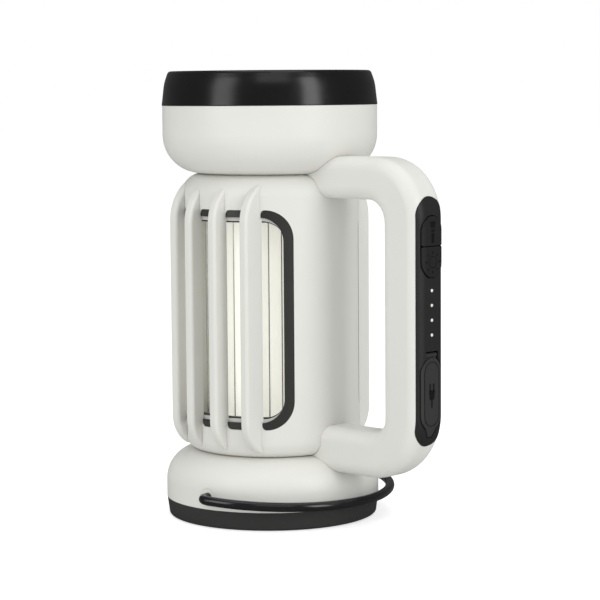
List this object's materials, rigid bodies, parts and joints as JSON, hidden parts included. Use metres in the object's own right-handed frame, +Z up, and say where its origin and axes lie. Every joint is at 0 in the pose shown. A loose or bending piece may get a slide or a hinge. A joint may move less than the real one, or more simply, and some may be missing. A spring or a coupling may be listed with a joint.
{
  "type": "electric bug zapper",
  "caption": "Cylindrical lantern bug zapper with guarded side windows, torch head, D-shaped grip with push buttons and a folding wire bail.",
  "frame": {"origin": "centre of the foot's rest face", "axes": "+Z up along the body's axis, +X towards the handle, windows facing -Y and +Y"},
  "size_m": [0.1219, 0.0928, 0.17],
  "materials": {
    "white_shell": "satin white moulding",
    "white_inner": "off-white moulding",
    "black_gloss": "polished black",
    "black_matte": "fine matt black",
    "black_rubber": "matt rubber",
    "silver_trim": "satin silver",
    "grid_steel": "drawn stainless wire",
    "black_wire": "gloss black coated wire",
    "frosted": "frosted translucent",
    "clear_lens": "clear moulded lens",
    "mirror_coat": "vacuum metallised",
    "board": "solder mask",
    "white_board": "white solder mask",
    "cell_wrap": "shrink sleeve",
    "ferrite": "ferrite and varnish",
    "zinc_steel": "zinc plated",
    "heat_alloy": "plain cast",
    "led_yellow": "phosphor dome",
    "led_white": "diffusing white"
  },
  "bodies": {
    "housing": {"foot_boot": "black_rubber", "base_shell": "white_shell", "bail_bushes": "white_inner", "base_plate": "black_matte", "base_screws": "zinc_steel", "battery_holder": "black_matte", "battery_cells": "cell_wrap", "charge_board": "board", "drum_shell": "white_shell", "window_frame_front": "black_gloss", "window_frame_back": "black_gloss", "window_trim_front": "silver_trim", "window_trim_back": "silver_trim", "guard_bars_front": "white_shell", "guard_bars_back": "white_shell", "grid_live": "grid_steel", "grid_return": "grid_steel", "grid_insulator_bottom": "white_inner", "grid_insulator_top": "white_inner", "lamp_diffuser": "frosted", "uv_led_board": "white_board", "catch_tray": "white_inner", "head_shell": "white_shell", "upper_deck": "white_inner", "head_screws": "zinc_steel", "hv_board": "board", "hv_transformer": "ferrite", "bezel_ring": "black_gloss", "torch_lens": "clear_lens", "lens_seal": "black_rubber", "torch_reflector": "mirror_coat", "torch_board": "white_board", "torch_led": "led_yellow", "torch_heat_sink": "heat_alloy", "handle_shell_front": "white_shell", "handle_shell_back": "white_shell", "handle_screws": "zinc_steel", "control_panel": "black_matte", "indicator_lenses": "led_white", "control_board": "board", "tact_switches": "black_matte", "usb_socket": "zinc_steel"},
    "bail": {"bail": "black_wire"},
    "torch_button": {"torch_button": "black_rubber"},
    "lamp_button": {"lamp_button": "black_rubber"},
    "port_cover": {"port_cover": "black_rubber"}
  },
  "joints": [
    {"name": "bail_swing", "type": "hinge", "parent": "housing", "child": "bail", "pos_m": [0.0054, 0, 0.0116], "axis": [0, 1, 0], "range_deg": [0, 92]},
    {"name": "torch_button_press", "type": "slide", "parent": "housing", "child": "torch_button", "axis": [-1, 0, 0], "range_m": [0, 0.0008], "stiffness_N_per_m": 1500},
    {"name": "lamp_button_press", "type": "slide", "parent": "housing", "child": "lamp_button", "axis": [-1, 0, 0], "range_m": [0, 0.0008], "stiffness_N_per_m": 1500},
    {"name": "port_cover_open", "type": "hinge", "parent": "housing", "child": "port_cover", "pos_m": [0.0791, 0, 0.0671], "axis": [0, -1, 0], "range_deg": [0, 95]}
  ]
}
